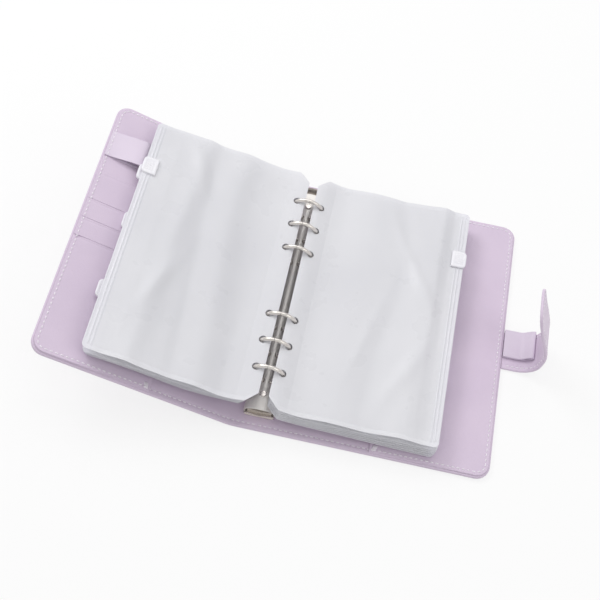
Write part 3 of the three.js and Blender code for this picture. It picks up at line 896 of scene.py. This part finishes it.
# One half of a ring: a flat tip at the split, the wire's arc, and the stud that goes into the case
def ring_half(index, side, y):
    start = math.asin(TIP_GAP / RING_RADIUS)
    end = math.pi - math.asin(STUD_X / RING_RADIUS)
    steps, sides = 44, 20
    centres = []
    for i in range(steps + 1):
        turn = start + (end - start) * i / steps
        outward = Vector((math.sin(turn), 0, math.cos(turn)))
        centres.append((Vector((0, 0, RING_Z)) + outward * RING_RADIUS, outward, WIRE))
    cap = [(centres[0][0], Vector((0, 0, 1)), WIRE - TIP_CHAMFER)]
    stud = []
    for z in (centres[-1][0].z - STUD_BLEND, *STUD_FOOT):
        stud.append((Vector((STUD_X, 0, z)), Vector((1, 0, 0)), STUD_RADIUS))
    points, faces = [], []
    rings = cap + centres[1:] + stud
    for centre, outward, radius in rings:
        for k in range(sides):
            turn = 2 * math.pi * k / sides
            spot = centre + outward * (radius * math.cos(turn)) + Vector((0, radius * math.sin(turn), 0))
            points.append((side * spot.x, y + spot.y, spot.z))
    for r in range(len(rings) - 1):
        for k in range(sides):
            n = (k + 1) % sides
            a = r * sides
            faces.append((a + k, a + n, a + sides + n, a + sides + k))
    faces.append(tuple(range(sides)))
    faces.append(tuple((len(rings) - 1) * sides + k for k in range(sides)))
    label = "left" if side < 0 else "right"
    obj = make("ring_wire_%d_%s" % (index, label), points, faces, NICKEL, 50)
    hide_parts("ring_%d_%s" % (index, label))
    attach(obj, "rings_" + label)


# The case's section at y: a plain arch that flares to a squarer, wider mouth
def arch(y, inset, segments):
    share = eased(held((abs(y) - BELL_FROM) / (BELL_TO - BELL_FROM)))
    a = ARCH_HALF[0] + (ARCH_HALF[1] - ARCH_HALF[0]) * share - inset
    b = ARCH_HEIGHT[0] + (ARCH_HEIGHT[1] - ARCH_HEIGHT[0]) * share - inset
    power = 2 + 0.6 * share
    result = []
    for i in range(segments + 1):
        turn = math.pi * i / segments
        c, s = math.cos(turn), max(math.sin(turn), 0)
        result.append((math.copysign(abs(c) ** (2 / power), c) * a, COVER_TOP + s ** (2 / power) * b))
    return result


def shell_part():
    flared = spread(PLAIN_HALF, SHELL_HALF, 34)
    stations = merged([-y for y in flared], spread(-PLAIN_HALF, PLAIN_HALF, 20), flared)
    segments = 36
    rings = []
    for y in stations:
        end_roll = END_ROLL * ridge(abs(y), SHELL_HALF, 0.35)
        outer = arch(y, end_roll, segments)
        inner = arch(y, SHELL_WALL - end_roll, segments)
        rings.append([(x, y, z) for x, z in outer] + [(x, y, z) for x, z in reversed(inner)])
    count = len(rings[0])
    points = [p for ring in rings for p in ring]
    faces = []
    for r in range(len(rings) - 1):
        for k in range(count):
            n = (k + 1) % count
            faces.append((r * count + k, r * count + n, (r + 1) * count + n, (r + 1) * count + k))
    for r in (0, len(rings) - 1):
        for k in range(segments):
            a = r * count + k
            b = r * count + count - 1 - k
            faces.append((a, a + 1, b - 1, b))
    # The case takes the lightened nickel: painted light over the envelopes' shade
    shell = make("ring_case", points, faces, BRIGHTENED_NICKEL, 45)
    work = bmesh.new()
    for y in RING_PLACES:
        for side in (-1, 1):
            add_box(work, (SLOT["wide"], SLOT["wide"], SLOT["tall"]), (side * SLOT["x"], y, SLOT["z"]))
    cut(shell, solid_from("slots", work))
    soften(shell.data, 45)
    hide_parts("ring_shell")
    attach(shell, "spine")


# The pressing tab of a lever: a shallow scoop that turns up at its rim
def lever_tab(end):
    def place(s, x, h):
        half = TAB_HALF * math.sqrt(max(1 - 0.55 * s ** 4, 0))
        rise = TAB_RISE * (0.12 * s + 0.88 * s ** 2.4) + 0.9 * x ** 2 * (1 - s)
        forward = TAB_REACH * (s - 0.12 * x * x * s)
        return half * x, end * (TAB_FROM + forward), TAB_SEAT + rise + h

    def across(s):
        return spread(-1, 1, 28)

    def low(s, x):
        return TAB_EDGE * ridge(s, 1, 0.08) + TAB_EDGE * ridge(abs(x), 1, 0.05)

    def high(s, x):
        return TAB_THICK - low(s, x)

    name = "lever_tab_top" if end > 0 else "lever_tab_bottom"
    tab = slab(name, spread(0, 1, 18), across, low, high, place, NICKEL, 60)
    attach(tab, "lever_top" if end > 0 else "lever_bottom")


def mechanism():
    shell_part()
    for index, y in enumerate(RING_PLACES):
        for side in (-1, 1):
            ring_half(index + 1, side, y)
    bodies = {
        "lever_top": "lever_top", "lever_bottom": "lever_bottom",
        "rivet_top": "spine", "rivet_bottom": "spine",
    }
    for node, body in bodies.items():
        piece = refined(node, node + "_plated", 0.18, NICKEL, 40)
        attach(piece, body)
    for end in (-1, 1):
        lever_tab(end)
    for node in ("rail_left", "rail_right"):
        nodes[node].data.materials.clear()
        nodes[node].data.materials.append(NICKEL)


# Envelopes

# Where a sheet lies in its stack: its tilt, its height at the ring's middle and its holes' place
def leaf_place(stack, index):
    seat = SEAT_FROM + SEAT_SPAN / (stack["count"] - 1) * index
    outer = -stack["depth"] + LEAF_STEP * (index + 0.5)
    reach = ENVELOPE_WIDTH - 9.4
    tilt = math.atan2(outer - seat, reach)
    offset = (seat - SEAT_AT * math.tan(tilt)) * math.cos(tilt)
    crossing = math.sqrt(RING_RADIUS ** 2 - offset ** 2)
    footprint = WIRE * RING_RADIUS / crossing + FILM / 2 * abs(offset) / crossing
    hole = crossing + HOLE_RADIUS - HOLE_ROOM - footprint
    return tilt, offset, hole


def leaf_placer(stack, index):
    tilt, offset, hole = leaf_place(stack, index)
    side = stack["side"]
    turn = stack["turn"] - side * tilt
    cosine, sine = math.cos(turn), math.sin(turn)

    def place(l, y, w):
        x, z = side * l, offset + w
        return x * cosine + z * sine, y, RING_Z - x * sine + z * cosine

    return place, offset, hole, (sine, 0, cosine)


# The punched margin curls up along the rings, most on the upper envelopes
def curl(below, l):
    return CURL * CURL_FADE ** below * ridge(l, 3.5, 15)


# Where a curled margin meets its ring, and how wide the wire's cut through the film is there
def ring_crossing(offset, below):
    l = RING_RADIUS
    for _ in range(40):
        height = offset + curl(below, l)
        l += 0.5 * (math.sqrt(RING_RADIUS ** 2 - height ** 2) - l)
    height = offset + curl(below, l)
    slope = math.atan((curl(below, l + 0.1) - curl(below, l - 0.1)) / 0.2)
    wire = math.atan2(-l, height)
    return l, WIRE / abs(math.sin(slope - wire)) + 0.3


# A fold that slants across the film by slope and fades out away from v = middle
def slanted(t, v, height, at, slope, pivot, width, middle, reach):
    return height * ridge(t - slope * (v - pivot), at, width) * ridge(v, middle, reach)


# The folds of the uppermost film on the left, and how far it lifts off the stack
def left_top_form(t, v):
    fold = 0.95 * ridge(t, 0.4 + 0.05 * math.sin(2.2 * v + 0.4), 0.1)
    fold += 0.8 * ridge(t, 0.74 - 0.05 * v, 0.07)
    fold -= 0.3 * ridge(t, 0.57 + 0.05 * v, 0.05) * (1 - 0.6 * ridge(v, 0.9, 0.3))
    fold += slanted(t, v, height=0.7, at=0.62, slope=0.35, pivot=0.5, width=0.05, middle=0.72, reach=0.25)
    fold += slanted(t, v, height=0.6, at=0.8, slope=-0.3, pivot=-0.5, width=0.045, middle=-0.35, reach=0.3)
    return fold, t * t * (2.0 - 2.6 * v) + 1.2 * ridge(t, 0.25, 0.16) * (v - 0.2)


def right_top_form(t, v):
    sway = 0.05 * math.sin(3.0 * v + 0.6)
    fold = 0.8 * ridge(t, 0.38 + 0.5 * sway, 0.13)
    fold += 0.85 * ridge(t, 0.82 + 0.04 * v, 0.09)
    fold -= 0.45 * ridge(t, 0.62 + sway, 0.06)
    fold += slanted(t, v, height=0.75, at=0.78, slope=-0.42, pivot=0.25, width=0.045, middle=0.35, reach=0.35)
    fold += slanted(t, v, height=0.65, at=0.76, slope=0.4, pivot=-0.5, width=0.05, middle=-0.5, reach=0.3)
    fold += slanted(t, v, height=0.35, at=0.5, slope=0.2, pivot=-0.2, width=0.04, middle=-0.3, reach=0.35)
    return fold, 1.6 * t


# A film further down ripples a little; on the left it also sags at its near end
def lower_form(label, index, t, v):
    seed = 3.1 * index + (7.7 if label == "left" else 0.0)
    fold = 0.45 * noise.noise(Vector((2.4 * t, 1.3 * v, seed)))
    if label == "left":
        sag = 3.2 * (3 - index) / 3
        fold -= sag * ridge(t, 0.42, 0.2) * ridge(v, -1.0, 0.45)
    return fold


# How far the film stands off its flat plane; t runs from the rings (0) to the zip (1)
def billow(label, index, top, l, y, x0):
    t = (l - x0) / ENVELOPE_WIDTH
    v = y / ENVELOPE_HALF
    free = held((t - 0.1) / 0.15) * held((0.93 - t) / 0.06)
    if not top:
        return free * lower_form(label, index, t, v)
    fold, lift = (left_top_form if label == "left" else right_top_form)(t, v)
    return free * (fold * FOLDS + 0.7) + lift


FILM_EDGE_STEPS = (0, 0.1, 0.3, 0.8, 2.0, 2.6, 2.9, 3.2, 3.8, 5)
MARGIN_STEPS = (0, 0.12, 0.4, 1, 2.5, 5, 7.5, 10, 11.6, 12.4, 12.8, 13.2, 14)
ZIP_STEPS = (
    0, 0.12, 0.4, 0.9, 1.4, 1.9, 2.3, 2.7, 3.0, 3.3, 3.7, 4.1, 4.4, 4.7, 5.1, 5.5, 5.9, 6.3, 6.8, 7.6, 8.5,
)


# Cuts one hole for each ring, square to the film
def punch_holes(film, spots, radius, normal):
    work = bmesh.new()
    tilt = Vector((0, 0, 1)).rotation_difference(Vector(normal)).to_matrix()
    for spot in spots:
        made = bmesh.ops.create_cone(
            work, cap_ends=True, segments=32, radius1=radius * MM, radius2=radius * MM, depth=12 * MM)
        bmesh.ops.rotate(work, cent=(0, 0, 0), matrix=tilt, verts=made["verts"])
        bmesh.ops.translate(work, vec=Vector(spot) * MM, verts=made["verts"])
    cut(film, solid_from("punch", work))
    soften(film.data, 60)


# One envelope: a film slab with seams, zip ribs and punched holes, and the slider on its zip
def film_part(label, index):
    stack = STACKS[label]
    place, offset, hole, normal = leaf_placer(stack, index)
    below = stack["count"] - 1 - index
    top = below == 0
    meet, footprint = ring_crossing(offset, below)
    x0 = meet - FREE_EDGE
    shift = TOP_LEFT_SHIFT if top and label == "left" else FAN * below
    x1 = hole - HOLE_INSET + ENVELOPE_WIDTH + shift
    slip = SLIP[label] * below
    name = "envelope_%s_%d" % (label, index + 1)

    def reach(l):
        if l < x0 + CHAMFER:
            return ENVELOPE_HALF - CHAMFER + (l - x0)
        return outline_half(l, x1, ENVELOPE_HALF, FILM_CORNER)

    def rows(l):
        edge = reach(l)
        ends = [edge - e for e in FILM_EDGE_STEPS]
        middle = spread(ends[-1], -ends[-1], 56 if top else 22)[1:-1]
        return ends + middle + [-e for e in reversed(ends)]

    columns = merged(
        [x0 + e for e in MARGIN_STEPS], spread(x0 + 15, x0 + 27, 8),
        spread(x0 + 28.5, x1 - 9, 48 if top else 18), [x1 - e for e in ZIP_STEPS],
        corner_steps(x1, FILM_CORNER))

    def half_thickness(l, y):
        side = reach(l) - abs(y)
        border = min(l - x0, x1 - l, side)
        pocket = min((l - x0 - 13) / 6, (x1 - 7.5 - l) / 5, (side - 3.2) / 5)
        seam = groove(side, BORDER, 0.3, 0.09) + groove(l - x0, MARGIN, 0.35, 0.09)
        swell = POCKET_SWELL * held(pocket)
        return MARGIN_HALF_THICK + swell - seam - 0.08 * rounded(max(border, 0), 0.3)

    def zip_rise(l, y):
        ribs = sum(height * ridge(l, x1 - back, width) for back, height, width in ZIP_RIBS)
        return ribs * held(reach(l) - abs(y) - 2.5)

    def middle(l, y):
        return billow(label, index, top, l, y, x0) + curl(below, l)

    def high(l, y):
        return middle(l, y) + half_thickness(l, y) + zip_rise(l, y)

    def low(l, y):
        return middle(l, y) - half_thickness(l, y) - 0.8 * zip_rise(l, y)

    def lay(l, y, w):
        return place(l, y + slip, w)

    film = slab(name + "_film", columns, rows, low, high, lay, POCKET_FILM, 60)
    spots = [place(meet + 0.2, y, middle(meet, y)) for y in RING_PLACES]
    punch_holes(film, spots, footprint + PUNCH_ROOM, normal)
    film.data.materials.append(MARGIN_FILM)
    film.data.materials.append(ZIP_FILM)
    origin = Vector(place(0, 0, 0))
    outward = Vector(place(1, 0, 0)) - origin
    for face in film.data.polygons:
        l = (Vector(face.center) / MM - origin).dot(outward)
        if l > x1 - ZIP_ZONE:
            face.material_index = 2
        elif l < x0 + MARGIN or abs(face.center.y / MM - slip) > reach(l) - BORDER:
            face.material_index = 1
    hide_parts(name)
    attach(film, label + ("_top_envelope" if top else "_stack"))
    anchor = tuple(Vector(place(50, 0, 0)) * MM)
    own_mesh(film)
    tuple(normal)
    lift = middle(x1 - 4, SLIDERS[label][index])
    slider_part(label, index, x1, lambda l, y, w: place(l, y, w + lift), top)


# Zip slider: a rounded white clip with finger ridges, open towards the film
def slider_part(label, index, x1, place, top):
    y = SLIDERS[label][index]
    outer = x1 + SLIDER_OVER["top" if top else label]
    inner = min(outer, x1 + SLIDER_OVER["top"]) - SLIDER_LONG
    rise = 1.0 if top else 0.0
    steps = (0, 0.15, 0.4, 0.8, 1.4)
    columns = merged(
        [inner + e for e in steps], spread(inner + 1.8, outer - 1.8, 14), [outer - e for e in steps],
        corner_steps(outer, SLIDER_CORNER))

    def rows(l):
        half = outline_half(l, outer, SLIDER_HALF, SLIDER_CORNER)
        ends = [half - e for e in (0, 0.15, 0.4, 0.8, 1.3)]
        middle = spread(ends[-1], -ends[-1], 42)[1:-1]
        return [y + v for v in ends + middle + [-e for e in reversed(ends)]]

    def ridges(l, v):
        zone = held((l - inner - 1.8) / 0.6) * held((outer - 1.6 - l) / 0.6)
        wave = 0.5 - 0.5 * math.cos(2 * math.pi * (v - y) / RIDGE_STEP)
        return RIDGE_DEEP * zone * wave * (1 if abs(v - y) < RIDGE_HALF else 0)

    def high(l, v):
        d = depth(l, v - y, outer, SLIDER_HALF, SLIDER_CORNER, inner)
        dome = rise * (1 - 0.25 * abs(v - y) / SLIDER_HALF)
        return SLIDER_THICK + dome - 0.8 * rounded(d, 0.9) - ridges(l, v) * (1 if top else 0.6)

    def low(l, v):
        d = depth(l, v - y, outer, SLIDER_HALF, SLIDER_CORNER, inner)
        return -SLIDER_THICK + 0.8 * rounded(d, 0.9)

    node = "slider_%s_%d" % (label, index + 1)
    clip = slab(node + "_clip", columns, rows, low, high, place, WHITE, 50)
    axis_x = Vector(place(1, 0, 0)) - Vector(place(0, 0, 0))
    axis_z = Vector(place(0, 0, 1)) - Vector(place(0, 0, 0))
    turn = Matrix((axis_x, (0, 1, 0), axis_z)).transposed()
    work = bmesh.new()
    add_box(work, CHANNEL, place(outer - 1 - CHANNEL[0] / 2, y, 0), turn)
    cut(clip, solid_from("channel", work))
    soften(clip.data, 50)
    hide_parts(node)
    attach(clip, node)


# Room, light and camera

FLOOR_GLOW = 0.78
WORLD_LIGHT = 0.6
LENS = 57.85
CAMERA_AT = (29.108, -313.589, 565.527)
CAMERA_RIGHT = (0.97753, 0.19690, 0.07528)
CAMERA_DOWN = (0.20846, -0.84984, -0.48407)
CAMERA_AHEAD = (-0.03134, 0.48888, -0.87179)


# A white floor that shows shadows, but glows a little to the camera
def floor_and_light():
    made, tree, bsdf = shader("floor")
    bsdf.inputs["Base Color"].default_value = grey(0.92)
    bsdf.inputs["Roughness"].default_value = 0.9
    glow = tree.nodes.new("ShaderNodeEmission")
    glow.inputs["Color"].default_value = grey(1.0)
    glow.inputs["Strength"].default_value = 1.0
    rays = tree.nodes.new("ShaderNodeLightPath")
    share = tree.nodes.new("ShaderNodeMath")
    share.operation = "MULTIPLY"
    share.inputs[1].default_value = FLOOR_GLOW
    mix = tree.nodes.new("ShaderNodeMixShader")
    tree.links.new(rays.outputs["Is Camera Ray"], share.inputs[0])
    tree.links.new(share.outputs[0], mix.inputs["Fac"])
    tree.links.new(bsdf.outputs[0], mix.inputs[1])
    tree.links.new(glow.outputs[0], mix.inputs[2])
    tree.links.new(mix.outputs[0], tree.nodes["Material Output"].inputs["Surface"])
    bpy.ops.mesh.primitive_plane_add(size=8, location=(0, 0, -0.0002))
    floor = bpy.context.object
    floor.name = "floor"
    floor.data.materials.append(made)

    world = bpy.context.scene.world or bpy.data.worlds.new("studio")
    bpy.context.scene.world = world
    world.use_nodes = True
    tree = world.node_tree
    back = tree.nodes["Background"]
    back.inputs["Color"].default_value = grey(1.0)
    back.inputs["Strength"].default_value = WORLD_LIGHT

    def lamp(name, place, aim, size, power):
        data = bpy.data.lights.new(name, "AREA")
        data.shape = "RECTANGLE"
        data.size, data.size_y = size
        data.energy = power
        obj = bpy.data.objects.new(name, data)
        bpy.context.scene.collection.objects.link(obj)
        obj.location = place
        obj.rotation_euler = (Vector(aim) - Vector(place)).to_track_quat("-Z", "Y").to_euler()

    lamp("key", (-0.75, 0.55, 0.95), (0, 0, 0), (0.7, 0.5), 5.2)
    lamp("fill", (0.9, -0.3, 0.8), (0, 0, 0), (0.6, 0.6), 1.5)
    lamp("top", (0.02, 0.62, 1.2), (0, 0, 0), (1.0, 0.8), 3.4)


# The photo's camera
def camera():
    data = bpy.data.cameras.new("camera")
    data.sensor_width = 36
    data.lens = LENS
    data.clip_start = 0.01
    obj = bpy.data.objects.new("camera", data)
    bpy.context.scene.collection.objects.link(obj)
    axes = (Vector(CAMERA_RIGHT), -Vector(CAMERA_DOWN), -Vector(CAMERA_AHEAD))
    turn = Matrix(axes).transposed().to_4x4()
    obj.matrix_world = Matrix.Translation(Vector(CAMERA_AT) * MM) @ turn
    bpy.context.scene.camera = obj


# The solids that keep showing get a plain look of their own
def finish_solids():
    looks = {
        "front_board": BOARD, "back_board": BOARD, "spine_board": BOARD,
        "closure_magnet_cover": MAGNET, "closure_magnet_strap": MAGNET,
    }
    for node, material in looks.items():
        nodes[node].data.materials.clear()
        nodes[node].data.materials.append(material)


camera()
floor_and_light()
for label in ("front", "back"):
    cover_parts(label)
    cover_stitches(label)
sewn_parts()
band_parts()
strap_parts()
mechanism()
for label, stack in STACKS.items():
    for index in range(stack["count"]):
        film_part(label, index)
finish_solids()

bpy.context.scene.view_settings.view_transform = "Standard"
